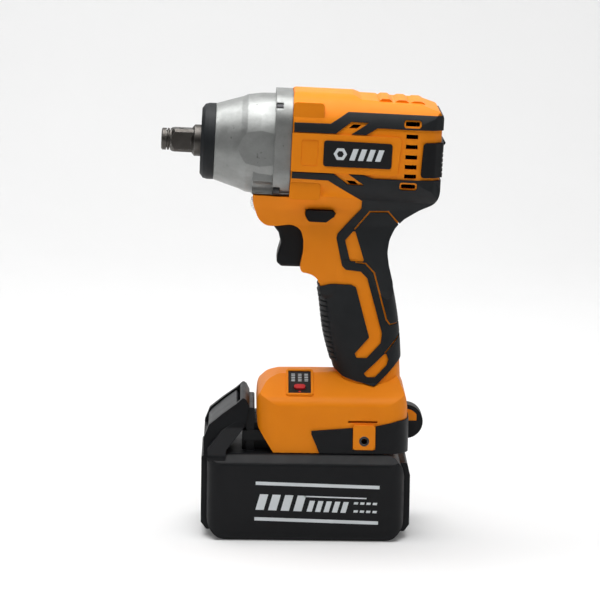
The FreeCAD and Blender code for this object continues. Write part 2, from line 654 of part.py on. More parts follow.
def cam_shaft():
    shaft = turned([(-26.2, 0), (-26.2, 3.6), (-25.8, 4.0), (-19.6, 4.0), (-19.6, 7.5), (3.2, 7.5), (3.2, 19.5),
                    (7.9, 19.5), (7.9, 0)])
    rear_plate = rod(19.5, 15.9, 18.6)
    webs = []
    for i in range(PLANETS):
        web = front_prism([(-3.6, 12.4), (3.6, 12.4), (3.9, 18.8), (-3.9, 18.8)], 7.5, 16.2)
        web.rotate(Vector(0, 0, 0), Vector(1, 0, 0), 60 + 120 * i)
        webs.append(web)
    body = fused([shaft, rear_plate] + webs).cut(rod(6.4, 7.9, 20)).cut(rod(6.4, 5.6, 8))
    for i in range(PLANETS):
        body = body.cut(at_planet(rod(2.01, 3, 19), i))
    for side in (-1, 1):
        body = body.cut(Part.makeSphere(2.55, Vector(-16.0, 0, side * 7.5)))
    return body.removeSplitter()


def cam_balls():
    return Part.makeCompound([in_head(Part.makeSphere(2.45, Vector(-16.0, 0, s * 7.5))) for s in (-1, 1)])


def coil(radius, wire, low, high, turns):
    """A helical spring along X, open at both ends."""
    pitch = (high - low - 2 * wire) / turns
    helix = Part.makeHelix(pitch, pitch * turns, radius)
    circle = Part.Wire(Part.makeCircle(wire, Vector(radius, 0, 0), Vector(0, 1, 0)))
    spring = Part.Wire(helix).makePipeShell([circle], True, True)
    spring.rotate(Vector(0, 0, 0), Vector(0, 1, 0), 90)
    spring.translate(Vector(low + wire, 0, 0))
    return spring


def planet_distance():
    return GEAR_MODULE * (SUN_TEETH + PLANET_TEETH) / 2


def at_planet(shape, index):
    """Moves a shape on the spindle to the place of a planet."""
    placed = shape.copy()
    placed.translate(Vector(0, 0, planet_distance()))
    placed.rotate(Vector(0, 0, 0), Vector(1, 0, 0), 120 * index)
    return placed


def gear_blank(teeth, tip, root, half_tooth, low, high, tooth_at_top=True):
    """A toothed prism with involute flanks. half_tooth is half a tooth's thickness at the pitch circle."""
    pitch = GEAR_MODULE * teeth / 2
    base = pitch * math.cos(math.radians(PRESSURE_ANGLE))

    def involute(radius):
        if radius <= base:
            return 0.0
        angle = math.acos(base / radius)
        return math.tan(angle) - angle

    half_angle = half_tooth / pitch + involute(pitch)
    start = max(base, root)
    steps = 3
    flank = [(root, half_angle - involute(start))] if root < base else []
    for i in range(steps + 1):
        radius = start + (tip - start) * i / steps
        flank.append((radius, half_angle - involute(radius)))
    outline = []
    for tooth in range(teeth):
        centre = 2 * math.pi * (tooth + (0 if tooth_at_top else 0.5)) / teeth
        outline += [(r * math.sin(centre - t), r * math.cos(centre - t)) for r, t in flank]
        outline += [(r * math.sin(centre + t), r * math.cos(centre + t)) for r, t in reversed(flank)]
    return front_prism(outline, low, high)


BACKLASH = 0.07
ADDENDUM, DEDENDUM = 0.72 * GEAR_MODULE, 1.15 * GEAR_MODULE


def half_tooth():
    return math.pi * GEAR_MODULE / 4 - BACKLASH


def sun_blank(low, high):
    pitch = GEAR_MODULE * SUN_TEETH / 2
    return gear_blank(SUN_TEETH, pitch + ADDENDUM, pitch - DEDENDUM, half_tooth(), low, high)


def planet_gear(index):
    pitch = GEAR_MODULE * PLANET_TEETH / 2
    low, high = GEAR_FRONT, GEAR_FRONT + GEAR_WIDTH
    gear = gear_blank(PLANET_TEETH, pitch + ADDENDUM, pitch - DEDENDUM, half_tooth(), low, high, False)
    return at_planet(gear.cut(rod(2.0 + RUNNING, low - 1, high + 1)), index)


def ring_gear():
    pitch = GEAR_MODULE * RING_TEETH / 2
    low, high = GEAR_FRONT - 1.0, GEAR_FRONT + GEAR_WIDTH + 1.0
    space = math.pi * GEAR_MODULE / 2 - half_tooth()
    teeth = gear_blank(RING_TEETH, pitch + DEDENDUM, pitch - ADDENDUM, space, low - 1, high + 1, False)
    return rod(25.6, low, high).cut(teeth)


def rotor_shaft():
    shaft = turned([(9.0, 0), (9.0, 2.4), (17, 2.4), (17, ROTOR_SHAFT_RADIUS), (74.4, ROTOR_SHAFT_RADIUS),
                    (74.4, 0)])
    return fused([shaft, sun_blank(GEAR_FRONT + 0.3, GEAR_FRONT + GEAR_WIDTH)])


def rotor_core():
    core = tube(12.2, ROTOR_SHAFT_RADIUS, 27, 48)
    for i in range(ROTOR_POLES):
        magnet = block((26, -5.4, 9.0), (49, 5.4, 10.4))
        magnet.rotate(Vector(0, 0, 0), Vector(1, 0, 0), 360 / ROTOR_POLES * i)
        core = core.cut(magnet)
    return core


def rotor_magnets():
    magnets = []
    for i in range(ROTOR_POLES):
        magnet = block((27, -5.3, 9.05), (48, 5.3, 10.35))
        magnet.rotate(Vector(0, 0, 0), Vector(1, 0, 0), 360 / ROTOR_POLES * i)
        magnets.append(in_head(magnet))
    return Part.makeCompound(magnets)


def stator_core():
    ring = tube(25.4, 21.5, 27, 48)
    teeth = []
    for i in range(STATOR_TEETH):
        tooth = block((27, -2.6, 13.6), (48, 2.6, 22.0)).fuse(block((27, -5.6, 12.9), (48, 5.6, 14.6)))
        tooth = tooth.cut(rod(12.8, 26, 49))
        tooth.rotate(Vector(0, 0, 0), Vector(1, 0, 0), 360 / STATOR_TEETH * i)
        teeth.append(tooth)
    return fused([ring] + teeth)


def stator_windings():
    """One coil round each tooth, with its ends standing out of the core."""
    coils = []
    for i in range(STATOR_TEETH):
        outer = round_box((23.6, -5.1, 15.0), (51.4, 5.1, 20.7), 1.5)
        winding = outer.cut(block((26.8, -2.75, 14), (48.2, 2.75, 22)))
        winding.rotate(Vector(0, 0, 0), Vector(1, 0, 0), 360 / STATOR_TEETH * i)
        coils.append(in_head(winding))
    return Part.makeCompound(coils)


def cooling_fan():
    hub = turned([(57, ROTOR_SHAFT_RADIUS), (57, 24.0), (58.2, 24.0), (59.4, 9.0), (68.4, 7.0),
                  (68.4, ROTOR_SHAFT_RADIUS)])
    blades = []
    for i in range(FAN_BLADES):
        blade = front_prism([(-0.6, 6.5), (0.6, 6.5), (4.6, 23.2), (3.4, 23.2)], 57.6, 68.4)
        blade.rotate(Vector(0, 0, 0), Vector(1, 0, 0), 360 / FAN_BLADES * i)
        blades.append(blade)
    return fused([hub] + blades)


def ball_bearing(low, high, bore, outer):
    """Two races with a ring of balls between them."""
    middle, ball = (bore + outer) / 2, (outer - bore) * 0.26
    wall = (outer - bore) * 0.26
    races = [tube(bore + wall, bore + RUNNING, low, high), tube(outer, outer - wall, low, high)]
    track = Part.makeTorus(middle, ball, Vector((low + high) / 2, 0, 0), Vector(1, 0, 0))
    races = [r.cut(track) for r in races]
    balls = []
    for i in range(BEARING_BALLS):
        one = Part.makeSphere(ball - 0.02, Vector((low + high) / 2, 0, middle))
        one.rotate(Vector(0, 0, 0), Vector(1, 0, 0), 360 / BEARING_BALLS * i)
        balls.append(one)
    return Part.makeCompound([in_head(s) for s in races + balls])


def gear_plate():
    return turned([(16.4, 20.2), (16.4, 26.2), (22.4, 26.2), (22.4, 6.6), (21.4, 6.6), (21.4, 7.0), (19.0, 7.0),
                   (19.0, 20.2)])


def bearing_bridge():
    """The spider that holds the motor's rear bearing between the housing shells."""
    hub = tube(10.0, 7.0, 69.2, 74.2)
    arms = [block((69.4, -2, 9), (71.9, 2, 24.6)), block((69.4, -2, -24.0), (71.9, 2, -9)),
            block((69.4, 9, -2), (71.9, 27, 2)), block((69.4, -27, -2), (71.9, -9, 2))]
    return fused([hub] + arms)


def sensor_board():
    return tube(22.5, 9.5, 52.6, 54.0)


def rear_cap():
    """The vented cap that wraps round the rear of the head between the two rubber bands."""
    outer = barrel(CAP_PROUD).common(cap_seat(0.0)).cut(barrel(-WALL))
    nib = [(82.0, 3.8), (82.0, 8.0), (83.9, 8.3), (85.4, 6.6), (83.9, 4.4)]
    outer = outer.fuse(side_prism(nib, -12, 12))
    grooves = [block((82.7, -40, b - 0.5), (90, 40, b + 0.5)) for b in (2.2, -0.4, -3.0, -5.6, -8.2)]
    slots = [block((76, y - 0.9, -8.6), (90, y + 0.9, 3.0)) for y in range(-16, 17, 4)]
    return cut_all(outer, grooves + slots)


def label_plate():
    return in_head(side_prism(LABEL, SIDE_FACE - 0.5, SIDE_FACE + 0.8, 1.5))


# Grip: trigger, switch, lever and light


def trigger():
    body = side_prism(TRIGGER_SIDE, -TRIGGER_HALF_WIDTH, TRIGGER_HALF_WIDTH, 2.2)
    front = [e for e in body.Edges if abs(abs(e.CenterOfMass.y) - TRIGGER_HALF_WIDTH) < 1e-3 and
             e.CenterOfMass.x < -10]
    body = body.makeFillet(1.6, front) if front else body
    body = body.cut(block((-9, -8.4, 152.5), (3, 8.4, 172.5)))
    return body.fuse(block((-9.5, -4, 160), (8.6, 4, 167))).removeSplitter()


def trigger_spring():
    spring = coil(3.0, 0.45, -8.8, 9.8, 6)
    spring.translate(Vector(0, 0, 156.2))
    return spring


def switch_body():
    body = round_box((10.2, -9.2, 152), (33, 9.2, 173.4), 1.5)
    return body.cut(block((9, -4.3, 159.7), (17, 4.3, 167.3)))


def direction_lever():
    body = side_prism(LEVER_SIDE, -LEVER_HALF_WIDTH, LEVER_HALF_WIDTH, 1.0)
    waist = block((-4, -13, 170), (15, 13, 190)).cut(block((2.0, -14, 178.6), (9.0, 14, 182.6)))
    return body.cut(waist)


def on_light(shape):
    placed = shape.copy()
    turn = FreeCAD.Rotation(Vector(0, 0, 1), LIGHT_DIRECTION)
    placed.Placement = FreeCAD.Placement(LIGHT_CENTRE, turn)
    return placed


def light_lens():
    dome = Part.makeSphere(6.0, Vector(0, 0, -3.6)).common(Part.makeCylinder(4.4, 8, Vector(0, 0, -0.6)))
    return on_light(dome)


def light_board():
    return on_light(Part.makeCylinder(4.2, 1.2, Vector(0, 0, -1.82)))


# Foot: gauge, boards, terminals and belt hook


def gauge_panel():
    plate = block((-GAUGE_HALF_X + 0.1, -GAUGE_HALF_SLOPE + 0.1, -1.3), (GAUGE_HALF_X - 0.1,
                  GAUGE_HALF_SLOPE - 0.1, 0.4))
    return on_gauge(plate).cut(gauge_button_room())


def gauge_button():
    cap = round_box((-3.2, -6.1, -3.2), (3.2, -2.5, 1.3), 1.75)
    return on_gauge(cap)


def control_board():
    board = block((-14, -20, 71.0), (40, 20, 72.6))
    parts = [block((-8, -12, 72.6), (4, 6, 77)), block((14, -15, 72.6), (20, -5, 79)),
             block((24, 2, 72.6), (34, 14, 76.5))]
    return fused([board] + parts)


TERMINAL_BLADES = (-12.0, 12.0)


def terminal_block():
    body = block((RAIL_REAR + 1.3, -17, 52), (51.5, 17, 64))
    blades = [block((30, y - 0.5, 55.4), (47, y + 0.5, 62.0)) for y in TERMINAL_BLADES]
    return fused([body] + blades)


def hook_inserts():
    return Part.makeCompound([cross_rod(2.8, HOOK_X, HOOK_Z, *sorted((s * 25.0, s * 32.6))).cut(
        cross_rod(1.65, HOOK_X, HOOK_Z, -40, 40)) for s in (-1, 1)])


def belt_hook():
    """A bent steel strip: a tab on the right pad, and a leaf that stands off the side and points to the rear."""
    inner = TAB_FACE
    leaf_low, leaf_high = HOOK_BOTTOM, HOOK_BOTTOM + HOOK_WIDTH
    near, far = inner + HOOK_GAP, inner + HOOK_GAP + HOOK_THICK
    tab = round_box((26.2, inner, leaf_low), (37.4, inner + HOOK_THICK, 67.1), 0.5)
    lip = block((26.2, inner - 3.4, 66.3), (37.4, inner + HOOK_THICK, 67.1))
    bridge = block((26.2, inner, leaf_low), (37.4, far, leaf_low + HOOK_THICK))
    leaf = block((26.2, near, leaf_low), (59.4, far, leaf_high))
    tip = cross_rod(HOOK_WIDTH / 2, 59.4, (leaf_low + leaf_high) / 2, near, far)
    return fused([tab, lip, bridge, leaf, tip]).cut(cross_rod(2.2, HOOK_X, HOOK_Z, 20, inner + HOOK_THICK + 1))


def belt_hook_screw():
    seat = TAB_FACE + HOOK_THICK
    body = cross_rod(3.6, HOOK_X, HOOK_Z, seat, seat + 2.4).fuse(cross_rod(1.6, HOOK_X, HOOK_Z, 26, seat))
    cross = block((HOOK_X - 2.2, seat + 1.0, HOOK_Z - 0.5), (HOOK_X + 2.2, seat + 3, HOOK_Z + 0.5)).fuse(
        block((HOOK_X - 0.5, seat + 1.0, HOOK_Z - 2.2), (HOOK_X + 0.5, seat + 3, HOOK_Z + 2.2)))
    return body.cut(cross)


def housing_screws():
    screws = []
    for x, z in HOUSING_SCREWS:
        seat = screw_depth(x, z)
        body = cross_rod(SCREW_HEAD_RADIUS, x, z, seat, seat + 2.6).fuse(
            cross_rod(SCREW_RADIUS, x, z, SCREW_END, seat))
        slot = block((x - 2.0, seat + 1.2, z - 0.5), (x + 2.0, seat + 3, z + 0.5)).fuse(
            block((x - 0.5, seat + 1.2, z - 2.0), (x + 0.5, seat + 3, z + 2.0)))
        screws.append(body.cut(slot))
    return Part.makeCompound(screws)


# Battery

HOOD_SIDE = [(-57.4, 45), (-57.4, 56), (-54.6, 63.2), (-47.3, 69.3), (-39.3, 75.2), (-35.7, 78.6), (-33.8, 77.2),
             (-32.0, 73.6), (-34.6, 62.2), (-45.6, 50.0), (-45.6, 45)]
SKIRT_SIDE = [(-55.2, 44), (-55.2, 51.0), (-47.4, 60.5), (-37.6, 66.4), (-34.4, 62.6), (-44.6, 50.6), (-45.6, 44)]
SKIRT_FRONT = [(-36.2, 44), (-36.2, 47.2), (-27.7, 62.0), (-26.6, 67), (26.6, 67), (27.7, 62.0), (36.2, 47.2),
               (36.2, 44)]
HOOD_REST_SIDE = [(-34, 45), (-34, 72.6), (-29.2, 72.4), (-29.2, 45)]
LATCH_SIDE = [(-55.0, 53.0), (-55.0, 60.4), (-53.3, 62.8), (-46.8, 68.4), (-39.4, 74.0), (-38.2, 71.8),
              (-44.6, 65.0), (-50.0, 60.0), (-51.2, 53.0)]
HOOD_HALF_WIDTH, LATCH_HALF_WIDTH = 28.0, 21.6
BATTERY_SCREWS = [(x, y) for x in (-50.7, 49.9) for y in (-30.6, 30.6)]
BATTERY_SCREW_SEAT = 9.5


def battery_outside(grow=0.0):
    """The battery's box without its end caps, grown by a distance or shrunk if it is negative."""
    side = [(BATTERY_FRONT, 0), (BATTERY_FRONT, 46), (BATTERY_FRONT + 2.4, BATTERY_TOP), (48.6, BATTERY_TOP),
            (53.4, 41.5), (BATTERY_REAR, 36), (BATTERY_REAR, 0)]
    front = [(-BATTERY_HALF_WIDTH, 0), (-BATTERY_HALF_WIDTH, 43.6), (-32.7, BATTERY_TOP), (32.7, BATTERY_TOP),
             (BATTERY_HALF_WIDTH, 43.6), (BATTERY_HALF_WIDTH, 0)]
    low, high = BATTERY_FRONT - grow, BATTERY_REAR + grow
    half = BATTERY_HALF_WIDTH + grow
    body = side_prism(inset(side, -grow), -FAR, FAR, BATTERY_CORNER + grow)
    body = body.common(front_prism(inset(front, -grow), -FAR, FAR, 3.0))
    return body.common(plan_prism([(low, -half), (high, -half), (high, half), (low, half)], -FAR, FAR, 8.0 + grow))


def battery_with_caps():
    nose = side_prism([(-58.6, 8), (-58.6, 46), (-50, 46), (-50, 4), (-55.5, 4)], -27, 27, 1.5)
    tail = side_prism([(58.0, 8), (58.0, 36), (56.2, 43), (45, 43), (45, 4), (55.2, 4)], -27, 27, 1.5)
    return fused([battery_outside(), nose, tail])


def battery_case():
    lower = battery_with_caps().common(block((-FAR, -FAR, -1), (FAR, FAR, BATTERY_SPLIT)))
    room = battery_outside(-2.4).common(block((-FAR, -FAR, 0), (FAR, FAR, BATTERY_SPLIT - 2.4)))
    mouth = battery_outside(-2.4).common(block((-FAR, -FAR, 30), (FAR, FAR, 46)))
    deep = plan_prism([(-52.8, -35), (52.0, -35), (52.0, 35), (-52.8, 35)], 30, 60, 6.0)
    lower = lower.cut(room.fuse([mouth, deep]))
    for x, y in BATTERY_SCREWS:
        boss = Part.makeCylinder(2.3, BATTERY_SPLIT - 4, Vector(x, y, 4))
        lower = lower.fuse(boss.common(battery_outside()))
    for x, y in BATTERY_SCREWS:
        lower = lower.cut(Part.makeCylinder(1.15, 60, Vector(x, y, -1)))
        lower = lower.cut(Part.makeCylinder(2.2, BATTERY_SCREW_SEAT, Vector(x, y, 0)))
    return lower.removeSplitter()


def battery_cover():
    upper = battery_with_caps().common(block((-FAR, -FAR, BATTERY_SPLIT), (FAR, FAR, FAR)))
    rail = front_prism(RAIL_SECTION, -36, RAIL_REAR)
    hood = side_prism(HOOD_SIDE, -HOOD_HALF_WIDTH, HOOD_HALF_WIDTH, 1.6)
    taper = [(-30, 44), (-28, 54), (-25.0, 82), (25.0, 82), (28, 54), (30, 44)]
    hood = hood.common(front_prism(taper, -FAR, FAR, 1.0))
    rest = side_prism(HOOD_REST_SIDE, -23.0, 23.0, 1.0)
    skirt = side_prism(SKIRT_SIDE, -FAR, FAR, 1.6).common(front_prism(SKIRT_FRONT, -FAR, FAR, 3.0))
    body = upper.fuse([rail, hood, rest, skirt])
    half = LATCH_HALF_WIDTH + 0.4
    pocket = block((-55.4, -half, 48.6), (-37.4, half, 90))
    mouth = block((-60, -half, 55.0), (-50, half, 90))
    under = block((-52, -30, 40), (48, 30, 46.0))
    arm_slot = block((-45, -8.6, 54.8), (-19.4, 8.6, 66.0))
    body = cut_all(body, [pocket, mouth, under, arm_slot])
    for y in TERMINAL_BLADES:
        body = body.cut(block((28.6, y - 2.0, 54.8), (RAIL_REAR + 1, y + 2.0, 64)))
    for x, y in BATTERY_SCREWS:
        body = body.cut(Part.makeCylinder(1.15, 2.2, Vector(x, y, BATTERY_SPLIT)))
    return body.removeSplitter()


def battery_latch():
    button = side_prism(LATCH_SIDE, -LATCH_HALF_WIDTH, LATCH_HALF_WIDTH, 0.8)
    scoop = Part.makeCylinder(9.5, 26, Vector(-53.4, -13, 75.6), Vector(0, 1, 0))
    button = button.cut(scoop)
    arm = side_prism([(-50.6, 59.4), (-46, 63.4), (-25.0, 63.4), (-25.0, 67.4), (-24.0, 67.4), (-20.6, 63.2),
                      (-20.6, 59.4)], -7.8, 7.8)
    return button.fuse(arm).removeSplitter()


def latch_springs():
    springs = []
    for y in (-4.4, 4.4):
        spring = coil(2.2, 0.35, 0, 9.0, 5)
        spring.rotate(Vector(0, 0, 0), Vector(0, 1, 0), -90)
        spring.translate(Vector(-42.5, y, 50.0))
        springs.append(spring)
    return Part.makeCompound(springs)


def cell_places():
    return [(-0.4 + 19.2 * i, z) for z in (12.2, 31.2) for i in range(-2, 3)]


def battery_cells():
    cells = []
    for x, z in cell_places():
        can = cross_rod(CELL_RADIUS, x, z, -CELL_LENGTH / 2, CELL_LENGTH / 2 - 1.2)
        cells.append(can.fuse(cross_rod(3.0, x, z, CELL_LENGTH / 2 - 1.2, CELL_LENGTH / 2)))
    return Part.makeCompound(cells)


def cell_holder():
    plates = []
    for low in (-26.0, 22.0):
        plate = block((-48.3, low, 3.0), (47.5, low + 4, 40.9)).common(battery_outside(-2.5))
        for x, z in cell_places():
            plate = plate.cut(cross_rod(CELL_RADIUS + 0.1, x, z, low - 1, low + 5))
        plates.append(plate)
    return Part.makeCompound(plates)


def battery_board():
    board = block((-24, -24, 41.6), (40, 24, 43.2))
    return board.fuse(block((6, -8, 43.2), (18, 8, 45.4))).removeSplitter()


def battery_contacts():
    """Spring leaves on both sides of each blade of the tool's terminal block."""
    leaves = []
    for y in TERMINAL_BLADES:
        for side in (-1, 1):
            low, high = sorted((y + side * 0.8, y + side * 1.3))
            leaves.append(block((29.2, low, 55.0), (39, high, 61.4)))
    return Part.makeCompound(leaves)


def battery_screws():
    screws = []
    for x, y in BATTERY_SCREWS:
        head = Part.makeCylinder(2.0, 1.9, Vector(x, y, BATTERY_SCREW_SEAT - 1.9))
        screw = head.fuse(Part.makeCylinder(1.1, 35.8, Vector(x, y, BATTERY_SCREW_SEAT)))
        screws.append(screw.cut(plan_prism(hexagon(x, y, 0.9), 0, BATTERY_SCREW_SEAT - 0.9)))
    return Part.makeCompound(screws)


# The whole tool


def parts():
    shell = housing()
    upper, lower, guard = overmould_parts()
    made = {
        "housing_left": shell.common(left_half()),
        "housing_right": shell.cut(left_half()),
        "upper_band_left": upper,
        "upper_band_right": mirrored(upper),
        "grip_rubber_left": lower,
        "grip_rubber_right": cut_all(mirrored(lower), screw_holes()),
        "foot_guard": fused([guard, mirrored(guard), rim()]).cut(lug()),
        "rear_cap": in_head(rear_cap()),
        "labels": Part.makeCompound([label_plate(), mirrored(label_plate())]),
        "housing_screws": housing_screws(),
        "hammer_case": in_head(hammer_case()),
        "case_screws": case_screws(),
        "nose_bumper": in_head(nose_bumper()),
        "anvil_bushing": in_head(tube(11.5, ANVIL_RADIUS + RUNNING, -47.5, -28.0)),
        "anvil": in_head(anvil()),
        "friction_ring": in_head(friction_ring()),
        "hammer": in_head(hammer()),
        "hammer_spring": in_head(coil(14.4, 1.5, -12.8, 1.9, 3)),
        "spring_washer": in_head(tube(18.0, 7.6, 2.1, 3.1)),
        "cam_balls": cam_balls(),
        "cam_shaft": in_head(cam_shaft()),
        "planet_pins": Part.makeCompound([in_head(at_planet(rod(2.0, 3.3, 18.5), i)) for i in range(PLANETS)]),
        "ring_gear": in_head(ring_gear()),
        "gear_plate": in_head(gear_plate()),
        "front_bearing": ball_bearing(19.0, 21.3, ROTOR_SHAFT_RADIUS, 7.0),
        "rear_bearing": ball_bearing(69.6, 73.8, ROTOR_SHAFT_RADIUS, 7.0),
        "bearing_bridge": in_head(bearing_bridge()),
        "rotor_shaft": in_head(rotor_shaft()),
        "rotor_core": in_head(rotor_core()),
        "rotor_magnets": rotor_magnets(),
        "stator_core": in_head(stator_core()),
        "stator_windings": stator_windings(),
        "sensor_board": in_head(sensor_board()),
        "cooling_fan": in_head(cooling_fan()),
        "trigger": trigger(),
        "trigger_spring": trigger_spring(),
        "switch_body": switch_body(),
        "direction_lever": direction_lever(),
        "light_lens": light_lens(),
        "light_board": light_board(),
        "gauge_panel": gauge_panel(),
        "gauge_button": gauge_button(),
        "control_board": control_board(),
        "terminal_block": terminal_block(),
        "hook_inserts": hook_inserts(),
        "belt_hook": belt_hook(),
        "belt_hook_screw": belt_hook_screw(),
        "battery_case": battery_case(),
        "battery_cover": battery_cover(),
        "battery_latch": battery_latch(),
        "latch_springs": latch_springs(),
        "battery_cells": battery_cells(),
        "cell_holder": cell_holder(),
        "battery_board": battery_board(),
        "battery_contacts": battery_contacts(),
        "battery_screws": battery_screws(),
    }
    for i in range(PLANETS):
        made[f"planet_gear_{i + 1}"] = in_head(planet_gear(i))
    return made


def export(name, shape):
    solids = shape.Solids
    bad = [s for s in solids if not s.isValid() or s.Volume <= 0]
    print(f"{name}: {len(solids)} solids, {shape.Volume / 1000:.2f} cm3{' INVALID' if bad or not solids else ''}")
    whole = solids[0] if len(solids) == 1 else Part.makeCompound(solids)
    whole.exportStep(f"parts/{name}.step")


os.makedirs("parts", exist_ok=True)
for part_name, part_shape in parts().items():
    export(part_name, part_shape)
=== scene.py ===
import json
import math

import bmesh
import bpy
from mathutils import Matrix, Vector


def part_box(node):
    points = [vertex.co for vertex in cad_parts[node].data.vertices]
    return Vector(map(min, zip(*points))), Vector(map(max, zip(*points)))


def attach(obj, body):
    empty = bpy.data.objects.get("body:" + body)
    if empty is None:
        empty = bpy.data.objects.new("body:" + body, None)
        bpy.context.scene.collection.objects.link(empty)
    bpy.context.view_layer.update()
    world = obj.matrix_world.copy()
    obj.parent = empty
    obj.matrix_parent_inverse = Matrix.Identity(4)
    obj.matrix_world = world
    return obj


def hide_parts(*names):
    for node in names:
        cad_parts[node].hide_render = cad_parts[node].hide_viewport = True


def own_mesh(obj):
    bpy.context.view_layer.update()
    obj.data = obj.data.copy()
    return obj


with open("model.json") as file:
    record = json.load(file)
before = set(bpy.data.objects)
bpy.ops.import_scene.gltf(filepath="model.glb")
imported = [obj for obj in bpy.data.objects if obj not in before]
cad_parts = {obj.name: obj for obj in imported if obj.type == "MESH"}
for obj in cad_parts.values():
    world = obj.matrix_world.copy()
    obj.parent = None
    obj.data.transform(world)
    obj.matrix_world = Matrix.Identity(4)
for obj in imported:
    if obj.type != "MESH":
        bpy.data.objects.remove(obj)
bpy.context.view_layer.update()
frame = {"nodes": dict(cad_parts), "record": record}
nodes = frame["nodes"]
scene = bpy.context.scene

MM = 0.001
LEFT_AND_RIGHT = ((-1, "left"), (1, "right"))  # the sign of y on each side of the tool


# Materials

class Shader:
    """A node tree with one Principled shader, and short ways to add to it. Colours are linear."""

    def __init__(self, name):
        self.material = bpy.data.materials.new(name)
        self.material.use_nodes = True
        self.tree = self.material.node_tree
        self.bsdf = self.tree.nodes["Principled BSDF"]
        self.coords = self.add("ShaderNodeTexCoord").outputs["Object"]
        self.normal = None

    def add(self, kind, **values):
        node = self.tree.nodes.new(kind)
        for key, value in values.items():
            setattr(node, key, value)
        return node

    def link(self, out, into):
        self.tree.links.new(out, into)

    def set(self, **values):
        for key, value in values.items():
            self.bsdf.inputs[key.replace("_", " ")].default_value = value

    def noise(self, scale, detail=4.0, rough=0.55, stretch=(1, 1, 1)):
        mapping = self.add("ShaderNodeMapping")
        mapping.inputs["Scale"].default_value = stretch
        self.link(self.coords, mapping.inputs["Vector"])
        node = self.add("ShaderNodeTexNoise")
        node.inputs["Scale"].default_value = scale
        node.inputs["Detail"].default_value = detail
        node.inputs["Roughness"].default_value = rough
        self.link(mapping.outputs["Vector"], node.inputs["Vector"])
        return node.outputs["Fac"]

    def cells(self, scale):
        node = self.add("ShaderNodeTexVoronoi")
        node.inputs["Scale"].default_value = scale
        self.link(self.coords, node.inputs["Vector"])
        return node.outputs["Distance"]

    def ramp(self, source, low, high, colour_low, colour_high):
        node = self.add("ShaderNodeValToRGB")
        node.color_ramp.elements[0].position = low
        node.color_ramp.elements[1].position = high
        node.color_ramp.elements[0].color = (*colour_low, 1)
        node.color_ramp.elements[1].color = (*colour_high, 1)
        self.link(source, node.inputs["Fac"])
        return node.outputs["Color"]

    def levels(self, source, low, high, to_low, to_high):
        node = self.add("ShaderNodeMapRange")
        for key, value in (("From Min", low), ("From Max", high), ("To Min", to_low), ("To Max", to_high)):
            node.inputs[key].default_value = value
        self.link(source, node.inputs["Value"])
        return node.outputs["Result"]

    def round_edges(self, radius):
        node = self.add("ShaderNodeBevel", samples=4)
        node.inputs["Radius"].default_value = radius
        self.normal = node.outputs["Normal"]
        self.link(self.normal, self.bsdf.inputs["Normal"])

    def bump(self, height, strength, distance):
        node = self.add("ShaderNodeBump")
        node.inputs["Strength"].default_value = strength
        node.inputs["Distance"].default_value = distance
        self.link(height, node.inputs["Height"])
        if self.normal is not None:
            self.link(self.normal, node.inputs["Normal"])
        self.normal = node.outputs["Normal"]
        self.link(self.normal, self.bsdf.inputs["Normal"])

    def edge_wear(self, colour_out, worn, radius, amount):
        """Mixes in a worn colour where the rounded normal leaves the flat one, broken up by noise."""
        bevel = self.add("ShaderNodeBevel", samples=4)
        bevel.inputs["Radius"].default_value = radius
        geometry = self.add("ShaderNodeNewGeometry")
        dot = self.add("ShaderNodeVectorMath", operation="DOT_PRODUCT")
        self.link(bevel.outputs["Normal"], dot.inputs[0])
        self.link(geometry.outputs["Normal"], dot.inputs[1])
        edge = self.levels(dot.outputs["Value"], 0.97, 0.80, 0.0, amount)
        patch = self.levels(self.noise(420, 5), 0.42, 0.62, 0.0, 1.0)
        both = self.add("ShaderNodeMath", operation="MULTIPLY")
        self.link(edge, both.inputs[0])
        self.link(patch, both.inputs[1])
        mix = self.add("ShaderNodeMix", data_type="RGBA")
        self.link(both.outputs["Value"], mix.inputs["Factor"])
        self.link(colour_out, mix.inputs["A"])
        mix.inputs["B"].default_value = (*worn, 1)
        return mix.outputs["Result"]


LOOKS = {}


def plastic(name, dark, light, roughness, grain, edge=0.00035, grain_scale=2600, gloss=0.5):
    """Moulded plastic or rubber with a fine spark-eroded grain and faint handling marks."""
    s = Shader(name)
    colour = s.ramp(s.noise(38, 3), 0.3, 0.7, dark, light)
    s.link(colour, s.bsdf.inputs["Base Color"])
    rough = s.levels(s.noise(130, 6, 0.65), 0.3, 0.7, roughness - 0.05, roughness + 0.06)
    s.link(rough, s.bsdf.inputs["Roughness"])
    s.set(Specular_IOR_Level=gloss)
    s.round_edges(edge)
    s.bump(s.noise(grain_scale, 2), grain, 0.00006)
    LOOKS[name] = s


def metal(name, dark, light, roughness, grain, stretch=(1, 1, 1), wear=None):
    """Machined, drawn or stacked metal. stretch draws out its grain, and wear colours its rubbed edges."""
    s = Shader(name)
    s.set(Metallic=1.0)
    colour = s.ramp(s.noise(70, 5), 0.3, 0.7, dark, light)
    if wear:
        colour = s.edge_wear(colour, wear, 0.0006, 0.85)
    s.link(colour, s.bsdf.inputs["Base Color"])
    rough = s.levels(s.noise(240, 5, 0.6, stretch), 0.3, 0.7, roughness - 0.08, roughness + 0.1)
    s.link(rough, s.bsdf.inputs["Roughness"])
    s.round_edges(0.0003)
    s.bump(s.noise(900, 4, 0.6, stretch), grain, 0.00008)
    LOOKS[name] = s


